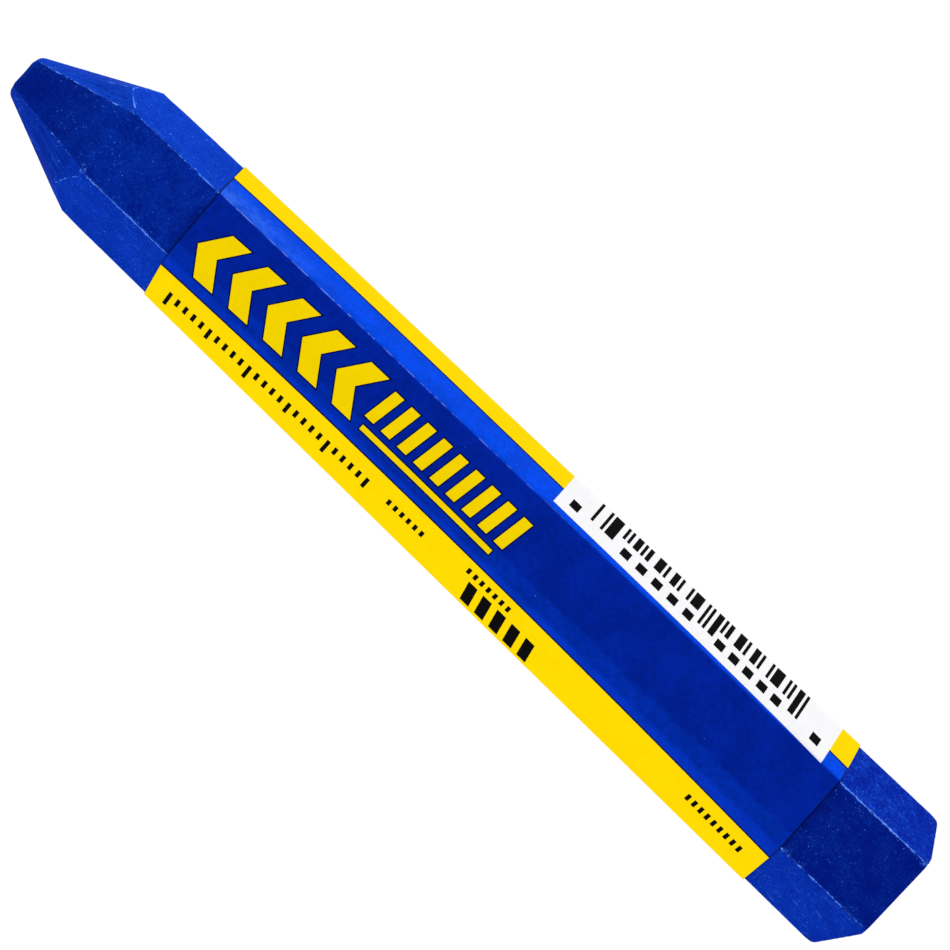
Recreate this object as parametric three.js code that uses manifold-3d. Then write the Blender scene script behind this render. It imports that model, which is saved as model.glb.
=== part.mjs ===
// A hexagonal marking crayon: one moulded wax stick in a printed label that is wrapped once
// round it and glued. Millimetres. +X runs to the writing point and +Z is up. The crayon lies
// on one flat, and the origin is on the surface it lies on, under the middle of its length.
import * as THREE from "three";
import { mergeVertices } from "three/addons/utils/BufferGeometryUtils.js";
import Module from "manifold-3d";

// Stick: a drafted hexagonal bar, widest at the butt, where it leaves the mould.
const stickLength = 114.3;
const shoulderAcrossFlats = 13.05;
const buttAcrossFlats = 14.8;
const stickEdgeRadius = 0.45;

// Butt: a flat end face with its six corners eased. The two corners at the sides are broken off
// at a slant, each with its own width across the end and length along the side.
const buttEaseDepth = 0.16;
const buttEaseAngle = THREE.MathUtils.degToRad(22);
const brokenWidthPlusY = 3.7;
const brokenLengthPlusY = 2.1;
const brokenWidthMinusY = 3.5;
const brokenLengthMinusY = 1.3;
const brokenCornerEase = 0.6;

// Point: nearly round where it leaves the flats, so each flat ends in an arch. It sharpens
// into six facets on the way to a small blunt nose, flattened and a little off the middle.
const pointLength = 9.3;
const shoulderRoundRadius = 6.56;
const shoulderOffset = 0.06;
const noseWidth = 4.5;
const noseTopWidth = 3.3;
const noseHeight = 2.5;
const noseOffset = 0.5;
const pointSkewAngle = THREE.MathUtils.degToRad(2.5);
const noseEdgeRadius = 0.55;

// The facets are crowned at the shoulder, with a soft crease along each, and lose that on the
// way to the nose. A share of 1 is as full as the round shoulder. The crease's place is given
// across the facet, counted the way the faces are.
const crownShares = [0.84, 0.45, 1.15, 1.15, 0.45, 0.84];
const creasePlaces = [0.38, 0.5, 0.5, 0.5, 0.5, 0.62];
const creaseSharpness = 1.35;
const facetFlattening = 2;

// Label: one thin sheet. Its ends are cut a little out of square with the stick.
const labelLength = 80.6;
const labelToButt = 11.4;
const labelThickness = 0.12;
const labelTipEndAngle = THREE.MathUtils.degToRad(3.6);
const labelButtEndAngle = THREE.MathUtils.degToRad(1.6);
const lapWidth = 4.4;
const lapRamp = 0.9;

// Glue: two strips, each a hair clear of what it joins.
const glueThickness = 0.04;
const glueClearance = 0.01;
const glueWidth = 3.2;
const glueEndMargin = 2.5;

// Faces are counted from the upper +Y side: 0 upper +Y, 1 top, 2 upper -Y, 3 lower -Y, 4 bottom,
// 5 lower +Y. The lap closes on face 3, which nobody sees and nothing rests on.
const sides = 6;
const topFace = 1;
const lapFace = 3;

// How far the solids that only cut run on past what they cut, and how far the point's solid
// runs back behind the shoulder, in lengths of the point.
const cutOverrun = 1;
const sleeveRun = 0.8;

// Fineness of the round stretches.
const edgeSteps = 4;
const facetSteps = 10;
const pointSteps = 9;
const noseEdgeSteps = 4;
const easeSteps = 72;
const cornerSteps = 6;

const sideAngle = (2 * Math.PI) / sides;
const buttX = -stickLength / 2;
const noseX = stickLength / 2;
const shoulderX = noseX - pointLength;
const labelSeat = glueThickness + 2 * glueClearance;
const stickLift = labelSeat + labelThickness;
const flatsPerCorner = Math.cos(sideAngle / 2);

// Distance from the stick's middle line to its flats, at x.
function apothemAt(x) {
  const along = (x - buttX) / (shoulderX - buttX);
  return THREE.MathUtils.lerp(buttAcrossFlats, shoulderAcrossFlats, along) / 2;
}

// The middle line climbs with the draft, so that the flat underneath lies level.
function middleHeightAt(x) {
  return apothemAt(x) + stickLift;
}

// A point of the cross-section at x, with y across and z up from the middle line.
function sectionPoint(x, y, z) {
  return new THREE.Vector3(x, y, z + middleHeightAt(x));
}

function faceNormal(face) {
  const angle = (face + 0.5) * sideAngle;
  return new THREE.Vector2(Math.cos(angle), Math.sin(angle));
}

// A point on a face, slid along it from the face's middle and lifted off it.
function facePoint(x, face, slide, lift) {
  const out = faceNormal(face);
  const reach = apothemAt(x) + lift;
  return sectionPoint(x, out.x * reach - out.y * slide, out.y * reach + out.x * slide);
}

// A point on the rounded edge after a face, turned by part (0 to 1) of the way round it.
function edgePoint(x, face, part, lift) {
  const cornerAngle = (face + 1) * sideAngle;
  const centre = (apothemAt(x) - stickEdgeRadius) / flatsPerCorner;
  const angle = (face + 0.5 + part) * sideAngle;
  const reach = stickEdgeRadius + lift;
  return sectionPoint(
    x,
    Math.cos(cornerAngle) * centre + Math.cos(angle) * reach,
    Math.sin(cornerAngle) * centre + Math.sin(angle) * reach,
  );
}

// Joins rings of equal length, counted anticlockwise seen from +X and given from -X to +X,
// into one closed geometry with flat ends.
function loftRings(rings) {
  const count = rings[0].length;
  const points = rings.flat();
  const index = [];
  for (let r = 0; r + 1 < rings.length; r++) {
    for (let i = 0; i < count; i++) {
      const j = (i + 1) % count;
      const [a, b, c, d] = [r * count + i, r * count + j, (r + 1) * count + i, (r + 1) * count + j];
      index.push(a, b, d, a, d, c);
    }
  }
  for (const [ring, start, front] of [
    [rings[0], 0, false],
    [rings.at(-1), points.length - count, true],
  ]) {
    const middle = ring.reduce((sum, p) => sum.add(p), new THREE.Vector3()).divideScalar(count);
    const hub = points.push(middle) - 1;
    for (let i = 0; i < count; i++) {
      const [a, b] = [start + i, start + ((i + 1) % count)];
      index.push(...(front ? [hub, a, b] : [hub, b, a]));
    }
  }
  return new THREE.BufferGeometry().setFromPoints(points).setIndex(index);
}

// Turns a closed strip given as rows of points, each row an unbroken line across a sheet's edge
// to edge, into a thin solid. under and over hold one line for each end of the sheet.
function sheetSolid(under, over) {
  const count = under[0].length;
  const points = [...under[0], ...under[1], ...over[0], ...over[1]];
  const index = [];
  const quad = (a, b, c, d) => index.push(a, b, c, a, c, d);
  const [u0, u1, o0, o1] = [0, count, 2 * count, 3 * count];
  for (let i = 0; i + 1 < count; i++) {
    quad(u0 + i, u1 + i, u1 + i + 1, u0 + i + 1);
    quad(o0 + i, o0 + i + 1, o1 + i + 1, o1 + i);
    quad(u0 + i, u0 + i + 1, o0 + i + 1, o0 + i);
    quad(u1 + i, o1 + i, o1 + i + 1, u1 + i + 1);
  }
  const last = count - 1;
  quad(u0, o0, o1, u1);
  quad(u0 + last, u1 + last, o1 + last, o0 + last);
  return new THREE.BufferGeometry().setFromPoints(points).setIndex(index);
}

const manifold = await Module();
manifold.setup();

function toSolid(geometry) {
  const bare = geometry.clone();
  bare.deleteAttribute("normal");
  bare.deleteAttribute("uv");
  const merged = mergeVertices(bare);
  return new manifold.Manifold(
    new manifold.Mesh({
      numProp: 3,
      vertProperties: new Float32Array(merged.attributes.position.array),
      triVerts: new Uint32Array(merged.index.array),
    }),
  );
}

function toGeometry(solid) {
  const mesh = solid.getMesh();
  const geometry = new THREE.BufferGeometry();
  geometry.setAttribute("position", new THREE.BufferAttribute(mesh.vertProperties, mesh.numProp));
  geometry.setIndex(new THREE.BufferAttribute(mesh.triVerts, 1));
  return geometry;
}

// The drafted bar, run on past the nose so that the point can be cut from it.
function barGeometry() {
  const rings = [buttX, noseX + cutOverrun].map((x) => {
    const ring = [];
    for (let face = 0; face < sides; face++) {
      for (let step = 0; step <= edgeSteps; step++) {
        ring.push(edgePoint(x, face, step / edgeSteps, 0));
      }
    }
    return ring;
  });
  return loftRings(rings);
}

// One ring of the point. part is 0 at the shoulder and 1 at the nose, and runs on below 0 into
// the bar. inset draws the ring in, for the rounded edge of the nose.
function pointRing(part, inset) {
  const noseCorners = [
    [noseWidth / 2, 0],
    [noseTopWidth / 2, noseHeight / 2],
    [-noseTopWidth / 2, noseHeight / 2],
    [-noseWidth / 2, 0],
    [-noseTopWidth / 2, -noseHeight / 2],
    [noseTopWidth / 2, -noseHeight / 2],
  ];
  const corners = noseCorners.map(([y, z], i) => {
    const round = new THREE.Vector2(Math.cos(i * sideAngle), Math.sin(i * sideAngle));
    return round.multiplyScalar(shoulderRoundRadius).lerp(new THREE.Vector2(y, z), part);
  });
  const roundCrown = shoulderRoundRadius * (1 - flatsPerCorner);
  const growth = 1 - noseWidth / 2 / shoulderRoundRadius;
  const crown = roundCrown * (part > 0 ? (1 - part) ** facetFlattening : 1 - part * growth);
  const middleY = THREE.MathUtils.lerp(shoulderOffset, noseOffset, part);
  const ring = [];
  for (let i = 0; i < sides; i++) {
    const [from, to] = [corners[i], corners[(i + 1) % sides]];
    const out = new THREE.Vector2(to.y - from.y, from.x - to.x).normalize();
    for (let step = 0; step < facetSteps; step++) {
      const across = step / facetSteps;
      const place = creasePlaces[i];
      const fromCrease = across < place ? 1 - across / place : (across - place) / (1 - place);
      const bulge = crown * crownShares[i] * (1 - fromCrease ** creaseSharpness);
      const p = from.clone().lerp(to, across).addScaledVector(out, bulge);
      p.multiplyScalar(1 - inset / p.length());
      const setBack = (p.x + noseWidth / 2) * Math.tan(pointSkewAngle);
      const x = shoulderX + part * pointLength - setBack;
      ring.push(new THREE.Vector3(x, p.x + middleY, p.y));
    }
  }
  return ring;
}

// The point as a sleeve: it is wider than the bar behind the shoulder and closes in to the nose.
function pointGeometry() {
  const edgePart = noseEdgeRadius / pointLength;
  const rings = [pointRing(-sleeveRun, 0)];
  for (let step = 0; step <= pointSteps; step++) {
    rings.push(pointRing(((1 - edgePart) * step) / pointSteps, 0));
  }
  for (let step = 1; step <= noseEdgeSteps; step++) {
    const turn = (step / noseEdgeSteps) * (Math.PI / 2);
    const part = 1 - edgePart * (1 - Math.sin(turn));
    rings.push(pointRing(part, noseEdgeRadius * (1 - Math.cos(turn))));
  }
  const back = rings[0].map((p) => new THREE.Vector3(buttX - cutOverrun, p.y, p.z));
  const geometry = loftRings([back, ...rings]);
  return geometry.translate(0, 0, middleHeightAt(shoulderX));
}

// The eased end of the butt: a cone that leaves the flats alone and trims the six corners.
function easedEndGeometry() {
  const cornerReach = apothemAt(buttX) / flatsPerCorner;
  const faceReach = cornerReach - buttEaseDepth;
  const wideReach = 2 * cornerReach;
  const profile = [
    [0, buttX],
    [faceReach, buttX],
    [wideReach, buttX + (wideReach - faceReach) / Math.tan(buttEaseAngle)],
    [wideReach, noseX + cutOverrun],
    [0, noseX + cutOverrun],
  ].map(([reach, x]) => new THREE.Vector2(reach, x));
  const geometry = new THREE.LatheGeometry(profile, easeSteps);
  return geometry.rotateZ(-Math.PI / 2).translate(0, 0, middleHeightAt(buttX));
}

// The crayon's outline from above, taken through its whole height, with the broken corners.
function brokenCornersGeometry() {
  const cornerReach = apothemAt(buttX) / flatsPerCorner;
  const frontX = noseX + cutOverrun;
  const brokenCorner = (side, width, length) => {
    const outer = new THREE.Vector2(buttX + length, side * cornerReach);
    const inner = new THREE.Vector2(buttX, side * (cornerReach - width));
    const onSide = new THREE.Vector2(outer.x + brokenCornerEase, outer.y);
    const onSlant = outer.clone().lerp(inner, brokenCornerEase / outer.distanceTo(inner));
    return { outer, inner, onSide, onSlant };
  };
  const plusY = brokenCorner(1, brokenWidthPlusY, brokenLengthPlusY);
  const minusY = brokenCorner(-1, brokenWidthMinusY, brokenLengthMinusY);
  const outline = new THREE.Shape();
  outline.moveTo(frontX, -cornerReach);
  outline.lineTo(frontX, cornerReach);
  outline.lineTo(plusY.onSide.x, plusY.onSide.y);
  outline.quadraticCurveTo(plusY.outer.x, plusY.outer.y, plusY.onSlant.x, plusY.onSlant.y);
  outline.lineTo(plusY.inner.x, plusY.inner.y);
  outline.lineTo(minusY.inner.x, minusY.inner.y);
  outline.lineTo(minusY.onSlant.x, minusY.onSlant.y);
  outline.quadraticCurveTo(minusY.outer.x, minusY.outer.y, minusY.onSide.x, minusY.onSide.y);
  const height = 2 * buttAcrossFlats;
  const geometry = new THREE.ExtrudeGeometry(outline, {
    depth: height,
    bevelEnabled: false,
    curveSegments: cornerSteps,
  });
  return geometry.translate(0, 0, middleHeightAt(buttX) - height / 2);
}

function stickGeometry() {
  const cuts = [pointGeometry(), easedEndGeometry(), brokenCornersGeometry()];
  const bar = toSolid(barGeometry());
  return toGeometry(cuts.reduce((left, cut) => left.intersect(toSolid(cut)), bar));
}

// Where the label ends. wrapped is the distance round the crayon from the middle of its top,
// counted towards -Y, and the cut ends drift towards the point with it.
const labelButtX = buttX + labelToButt;
const labelTipX = labelButtX + labelLength;
const sideLength = 2 * apothemAt((labelButtX + labelTipX) / 2) * Math.tan(sideAngle / 2);

function labelEnds(wrapped) {
  return [
    labelButtX + wrapped * Math.tan(labelButtEndAngle),
    labelTipX + wrapped * Math.tan(labelTipEndAngle),
  ];
}

// The line that the label follows round the stick, from its leading edge on the lap face, once
// round, up onto itself and along to its trailing edge. Each stop gives a place at any x.
const lapStart = -lapWidth / 2;
const lapEnd = lapWidth / 2;
const lapLift = labelThickness + labelSeat;

function labelLine() {
  const stops = [];
  const addFace = (face, slide, lift) => {
    const wrapped = (face - topFace) * sideLength + slide;
    stops.push({ wrapped, lift, at: (x, extra) => facePoint(x, face, slide, lift + extra) });
  };
  addFace(lapFace - sides, lapStart, labelSeat);
  for (let face = lapFace - sides; face < lapFace; face++) {
    for (let step = 0; step <= edgeSteps; step++) {
      const part = step / edgeSteps;
      const wrapped = (face + 0.5 - topFace) * sideLength;
      stops.push({ wrapped, at: (x, extra) => edgePoint(x, face, part, labelSeat + extra) });
    }
  }
  addFace(lapFace, lapStart - lapRamp, labelSeat);
  addFace(lapFace, lapStart - glueClearance, labelSeat + lapLift);
  addFace(lapFace, lapEnd, labelSeat + lapLift);
  return stops;
}

function labelGeometry() {
  const stops = labelLine();
  const line = (end, extra) => stops.map((stop) => stop.at(labelEnds(stop.wrapped)[end], extra));
  return sheetSolid([line(0, 0), line(1, 0)], [line(0, labelThickness), line(1, labelThickness)]);
}

// A glue strip on the lap face, between two slides, with its underside lifted off the stick.
function glueGeometry(turn, from, to, lift) {
  const face = lapFace + turn * sides;
  const line = (end, extra) =>
    [from, to].map((slide) => {
      const wrapped = (face - topFace) * sideLength + slide;
      const inward = end === 0 ? glueEndMargin : -glueEndMargin;
      return facePoint(labelEnds(wrapped)[end] + inward, face, slide, lift + extra);
    });
  return sheetSolid([line(0, 0), line(1, 0)], [line(0, glueThickness), line(1, glueThickness)]);
}

function pickupGlueGeometry() {
  return glueGeometry(-1, lapStart, lapStart + glueWidth, glueClearance);
}

function lapGlueGeometry() {
  const lift = labelSeat + labelThickness + glueClearance;
  return glueGeometry(0, lapEnd - glueWidth, lapEnd, lift);
}

function makePiece(name, geometry, look) {
  const mesh = new THREE.Mesh(geometry, new THREE.MeshStandardMaterial(look));
  geometry.computeVertexNormals();
  mesh.name = name;
  return mesh;
}

const blueWax = { color: 0x0b2c9c, roughness: 0.72, metalness: 0 };
const printedFilm = { color: 0x0a33a8, roughness: 0.38, metalness: 0 };
const paleGlue = { color: 0xe6dcc0, roughness: 0.5, metalness: 0 };

const crayon = new THREE.Group();
crayon.add(
  makePiece("crayon_stick", stickGeometry(), blueWax),
  makePiece("label_wrap", labelGeometry(), printedFilm),
  makePiece("pickup_glue_strip", pickupGlueGeometry(), paleGlue),
  makePiece("lap_glue_strip", lapGlueGeometry(), paleGlue),
);

export default crayon;
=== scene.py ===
import math

import bmesh
import bpy
import numpy as np
from mathutils import Matrix, Vector, noise
from mathutils.kdtree import KDTree


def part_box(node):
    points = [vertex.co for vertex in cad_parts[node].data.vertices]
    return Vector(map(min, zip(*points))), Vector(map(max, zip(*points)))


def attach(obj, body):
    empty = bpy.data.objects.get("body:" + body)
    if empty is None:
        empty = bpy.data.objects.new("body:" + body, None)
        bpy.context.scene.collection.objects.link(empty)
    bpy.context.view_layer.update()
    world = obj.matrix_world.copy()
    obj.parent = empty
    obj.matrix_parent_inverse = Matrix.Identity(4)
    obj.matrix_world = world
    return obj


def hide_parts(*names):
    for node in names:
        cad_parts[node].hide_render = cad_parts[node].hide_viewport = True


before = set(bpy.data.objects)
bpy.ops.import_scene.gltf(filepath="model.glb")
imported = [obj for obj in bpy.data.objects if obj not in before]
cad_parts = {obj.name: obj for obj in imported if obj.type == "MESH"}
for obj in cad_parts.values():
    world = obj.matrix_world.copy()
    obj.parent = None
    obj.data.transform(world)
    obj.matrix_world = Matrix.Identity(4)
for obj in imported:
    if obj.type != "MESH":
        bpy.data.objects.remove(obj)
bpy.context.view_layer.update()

# The wax stick. It is cast in one piece from blue wax and clay, drawn from its mould by the
# butt, and trimmed to a blunt point. The piece is the frame's stick cut into small cells, so
# that its ridges can be worn, knocked and scuffed the way soft wax is.
mm = 0.001
stick_cell = 0.26 * mm
weld = 0.0001 * mm
flat_angle = math.radians(0.2)
ridge_angle = math.radians(12)
crisp_angle = math.radians(20)
end_clear = 0.15 * mm
nose_clear = 0.9 * mm
# How faint each worn line is, by its end and its side: +Y is True.
ridge_faint = {("butt", False): -0.025 * mm, ("butt", True): 0.02 * mm,
               ("tip", False): 0.02 * mm, ("tip", True): -0.015 * mm}
crease_faint = 0.05 * mm
arch_faint = {False: 0.03 * mm, True: 0.04 * mm}
top_arch_faint = 0.24 * mm
line_sample = 0.06 * mm
ridge_wear = 0.02 * mm
wear_reach = 0.35 * mm
mould_texture = 0.003 * mm
wear_grain, mould_grain, knock_grain = 0.6 * mm, 0.9 * mm, 0.5 * mm

faces = 6
point_length = 9.3 * mm
ridge_radius = 0.45 * mm
shoulder_apothem = 13.05 * mm / 2
stick_low, stick_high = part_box("crayon_stick")
butt_apothem = (stick_high.z - stick_low.z) / 2
shoulder_x = stick_high.x - point_length
corner_x = shoulder_x - 2.4 * mm
butt_depth = 4 * mm
lower_crease_z = 9.5 * mm
top_arch_z = stick_high.z * 0.84
along_share = 0.9
label_low, label_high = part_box("label_wrap")
under_label = (label_low.x + 1 * mm, label_high.x - 4 * mm)


def cut_across(bm, axis, places):
    """Cuts the mesh with a plane across the axis at each place."""
    for place in places:
        point, normal = Vector((0, 0, 0)), Vector((0, 0, 0))
        point[axis], normal[axis] = place, 1
        bmesh.ops.bisect_plane(bm, geom=bm.verts[:] + bm.edges[:] + bm.faces[:], dist=weld,
                               plane_co=point, plane_no=normal)


def apothem_at(x):
    """Half of the stick's width across its flats at x, on the drafted length."""
    part = (x - stick_low.x) / (shoulder_x - stick_low.x)
    return butt_apothem + (shoulder_apothem - butt_apothem) * part


def straight_ridges():
    """Points along the middle of the six straight ridges, where the wax is bare."""
    points = []
    for x in np.arange(stick_low.x + end_clear, corner_x, line_sample):
        if under_label[0] < x < under_label[1]:
            continue
        apothem = apothem_at(x)
        reach = (apothem - ridge_radius) / math.cos(math.pi / faces) + ridge_radius
        for i in range(faces):
            turned = i * math.tau / faces
            faintness = ridge_faint["butt" if x < 0 else "tip", math.cos(turned) > 0]
            points.append((Vector((x, math.cos(turned) * reach,
                                   math.sin(turned) * reach + apothem + stick_low.z)), faintness))
    return points


def along_edge(edge):
    """Points along an edge of the mesh, a sample apart."""
    first, last = edge.verts[0].co, edge.verts[1].co
    length = edge.calc_length()
    return [first.lerp(last, min(i * line_sample / length, 1))
            for i in range(int(length / line_sample) + 1)]


def point_creases(bm):
    """Points along the arches and creases of the point, and how faint each of them is."""
    points = []
    for edge in bm.edges:
        first, last = edge.verts[0].co, edge.verts[1].co
        middle = (first + last) / 2
        on_point = corner_x < middle.x < stick_high.x - nose_clear
        if edge.calc_face_angle(0) < ridge_angle or not on_point:
            continue
        along = abs(first.x - last.x) / edge.calc_length() > along_share
        hidden = middle.y > 0 and middle.z < lower_crease_z
        if hidden or along and middle.x < shoulder_x:
            continue
        arch = top_arch_faint if middle.z > top_arch_z else arch_faint[middle.y > 0]
        points += [(point, crease_faint if along else arch) for point in along_edge(edge)]
    return points


def butt_edges(bm):
    """Points along the edges of the butt's turned chamfer."""
    points = []
    for edge in bm.edges:
        near_butt = max(vert.co.x for vert in edge.verts) < stick_low.x + butt_depth
        if near_butt and edge.calc_face_angle(0) > ridge_angle:
            points += along_edge(edge)
    return points


def point_tree(points):
    tree = KDTree(len(points))
    for i, point in enumerate(points):
        tree.insert(point, i)
    tree.balance()
    return tree


def noise_at_point(place, size, seed):
    """Noise of a given grain, from about -1 to 1, and different for each seed."""
    return noise.fractal(Vector(place) / size + Vector((7.3, 3.1, 5.7)) * seed, 1, 2, 3)


def deepest(marks, place):
    """How deep the marks are here, each of them a centre, a reach and a depth."""
    return max(max(0, 1 - (place - centre).length / reach) * depth
               for centre, reach, depth in marks)


bm = bmesh.new()
bm.from_mesh(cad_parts["crayon_stick"].data)
bmesh.ops.remove_doubles(bm, verts=bm.verts, dist=weld)
bmesh.ops.dissolve_limit(bm, angle_limit=flat_angle, verts=bm.verts, edges=bm.edges)
worn_lines = straight_ridges() + point_creases(bm)
trees = {}
for faintness in sorted({faint for _, faint in worn_lines}):
    trees[faintness] = point_tree([point for point, faint in worn_lines if faint == faintness])
butt_tree = point_tree(butt_edges(bm))
along_cuts = np.arange(stick_low.x + stick_cell, stick_high.x, stick_cell)
cut_across(bm, 0, [x for x in along_cuts if not under_label[0] < x < under_label[1]])
cut_across(bm, 1, np.arange(stick_low.y + stick_cell, stick_high.y, stick_cell))
cut_across(bm, 2, np.arange(stick_low.z + stick_cell, stick_high.z, stick_cell))
# Each knock and each rubbed corner has a centre, a reach and a depth.
knocks = [
    (Vector((stick_low.x + 0.6 * mm, -4.3 * mm, 14.85 * mm)), 0.9 * mm, 0.07 * mm),
    (Vector((-46.6 * mm, 4.2 * mm, 14.6 * mm)), 0.8 * mm, 0.05 * mm),
    (Vector((46.4 * mm, -3.8 * mm, 13.2 * mm)), 0.8 * mm, 0.05 * mm),
    (Vector((46.1 * mm, 3.5 * mm, 13.2 * mm)), 0.8 * mm, 0.08 * mm),
]
knock_whole = 0.1 * mm
rubbed_corners = [(Vector((corner_x, y, shoulder_apothem)), 2.2 * mm, 0.06 * mm)
                  for y in (-7.45 * mm, 7.45 * mm)]
butt_ease, butt_ease_reach = 0.10 * mm, 1.0 * mm
bm.normal_update()
from_ridge = bm.verts.layers.float.new("from_ridge")
knock_layer = bm.verts.layers.float.new("knock")
moves = []
for vert in bm.verts:
    place = vert.co.copy()
    if under_label[0] < place.x < under_label[1]:
        vert[from_ridge] = 1.0
        continue
    distance = min(tree.find(place)[2] + faintness for faintness, tree in trees.items())
    knock = deepest(knocks, place)
    vert[from_ridge] = min(distance / mm, 1.0)
    vert[knock_layer] = knock / knock_whole
    worn = max(0, 1 - distance / wear_reach) * max(0, noise_at_point(place, wear_grain, 1) + 0.2)
    uneven = 0.5 + 0.5 * noise_at_point(place, mould_grain, 2)
    ragged = knock * max(0, 0.5 + noise_at_point(place, knock_grain, 3))
    eased = max(0, 1 - butt_tree.find(place)[2] / butt_ease_reach) ** 2 * butt_ease
    depth = ridge_wear * worn + mould_texture * uneven + ragged + eased
    depth += deepest(rubbed_corners, place)
    moves.append((vert, vert.normal * depth))
for vert, move in moves:
    vert.co -= move
for edge in bm.edges:
    edge.smooth = edge.calc_face_angle(0) < crisp_angle
for face in bm.faces:
    face.smooth = True


def new_piece(name, bm):
    """An object in the scene from a finished bmesh, which is freed."""
    mesh = bpy.data.meshes.new(name)
    bm.to_mesh(mesh)
    bm.free()
    piece = bpy.data.objects.new(name, mesh)
    bpy.context.scene.collection.objects.link(piece)
    return piece


wax_stick = new_piece("wax_stick", bm)


def add_node(tree, kind, inputs=None, **settings):
    """A shader node with its settings, and each input set to a value or fed by a socket."""
    made = tree.nodes.new("ShaderNode" + kind)
    for name, value in settings.items():
        setattr(made, name, value)
    for name, value in (inputs or {}).items():
        if isinstance(value, bpy.types.NodeSocket):
            tree.links.new(value, made.inputs[name])
        else:
            made.inputs[name].default_value = value
    return made


def ramp(tree, factor, low, high):
    """0 where the factor is at low, 1 where it is at high, and smooth between them."""
    return add_node(tree, "MapRange", {"Value": factor, "From Min": low, "From Max": high},
                    interpolation_type="SMOOTHSTEP").outputs["Result"]


def times(tree, a, b):
    return add_node(tree, "Math", {0: a, 1: b}, operation="MULTIPLY").outputs[0]


def plus(tree, a, b):
    """The sum, at most 1."""
    return add_node(tree, "Math", {0: a, 1: b}, operation="ADD", use_clamp=True).outputs[0]


def blend(tree, factor, a, b):
    return add_node(tree, "Mix", {0: factor, 6: a, 7: b}, data_type="RGBA").outputs[2]


def lay(tree, tone, colour, mask, strength):
    """Lays a colour on the tone where the mask is, as thickly as the strength says."""
    return blend(tree, times(tree, mask, strength), tone, colour)


def noise_at(tree, place, size, detail, roughness=0.5, stretch=(1, 1, 1)):
    """Noise of a given grain, from 0 to 1. A stretch under 1 draws it out along an axis."""
    scaled = add_node(tree, "Mapping", {"Vector": place, "Scale": stretch}).outputs[0]
    settings = {"Vector": scaled, "Scale": 1 / size, "Detail": detail, "Roughness": roughness}
    return add_node(tree, "TexNoise", settings).outputs["Fac"]


def new_material(name):
    """A material, its node tree, its surface shader and the place on the object."""
    material = bpy.data.materials.new(name)
    material.use_nodes = True
    tree = material.node_tree
    tree.nodes.clear()
    surface = add_node(tree, "BsdfPrincipled")
    add_node(tree, "OutputMaterial", {"Surface": surface.outputs[0]})
    place = add_node(tree, "TexCoord").outputs["Object"]
    return material, tree, surface, place


def new_group(name, takes, gives):
    """A node group, its inputs and its outputs, each of them a name and a kind."""
    group = bpy.data.node_groups.new(name, "ShaderNodeTree")
    for sockets, in_out in ((takes, "INPUT"), (gives, "OUTPUT")):
        for socket_name, kind in sockets.items():
            group.interface.new_socket(socket_name, in_out=in_out,
                                       socket_type="NodeSocket" + kind)
    given = group.nodes.new("NodeGroupInput").outputs
    return group, given, group.nodes.new("NodeGroupOutput").inputs


# Pale specks in cells: clay in the wax, and dust on the film.
pale_specks, given, result = new_group(
    "pale_specks", {"Place": "Vector", "Spacing": "Float", "Size": "Float", "Share": "Float"},
    {"Mask": "Float"})
density = add_node(pale_specks, "Math", {0: 1.0, 1: given["Spacing"]}, operation="DIVIDE")
cells = add_node(pale_specks, "TexVoronoi", {"Vector": given["Place"],
                                             "Scale": density.outputs[0]}).outputs
chance = add_node(pale_specks, "SeparateColor", {"Color": cells["Color"]}).outputs
dot = add_node(pale_specks, "Math", {0: cells["Distance"], 1: given["Size"]},
               operation="LESS_THAN").outputs[0]
kept = add_node(pale_specks, "Math", {0: chance[0], 1: given["Share"]},
                operation="LESS_THAN").outputs[0]
whiteness = add_node(pale_specks, "MapRange", {"Value": chance[1], "To Min": 0.25}).outputs[0]
speck = times(pale_specks, times(pale_specks, dot, kept), whiteness)
pale_specks.links.new(speck, result["Mask"])


def speck_mask(tree, place, spacing, size, share):
    """Specks in cells a spacing wide. The share says how many of the cells have one."""
    inputs = {"Place": place, "Spacing": spacing, "Size": size, "Share": share}
    return add_node(tree, "Group", inputs, node_tree=pale_specks).outputs["Mask"]


deep_wax = (0.0006, 0.0105, 0.225, 1)
lit_wax = (0.0010, 0.0190, 0.310, 1)
bloom_and_side_light_wax = (0.0025, 0.0450, 0.480, 1)
rubbed_and_side_light_wax = (0.0070, 0.0720, 0.570, 1)
painted_shade_wax = (0.0006, 0.0060, 0.180, 1)
scuffed_wax = (0.075, 0.215, 0.850, 1)
clay_speck = (0.180, 0.340, 0.900, 1)
blue_gloss = (0.10, 0.40, 1.0, 1)

cloud_size, patch_size, break_size, gather_size = 2.6 * mm, 1.7 * mm, 0.60 * mm, 2.6 * mm
grain_size, fibre_size, scratch_size = 0.34 * mm, 0.18 * mm, 0.40 * mm
side_blend = 3 * mm
ruffle_size, ruffle_reach = 0.22 * mm, 0.16 * mm
point_apex = Vector((stick_high.x + 4.4 * mm, 0.4 * mm, 6.8 * mm))
trimmed_from, trimmed_to = -14.6 * mm, -13.4 * mm
drag_width = 0.016

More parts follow.
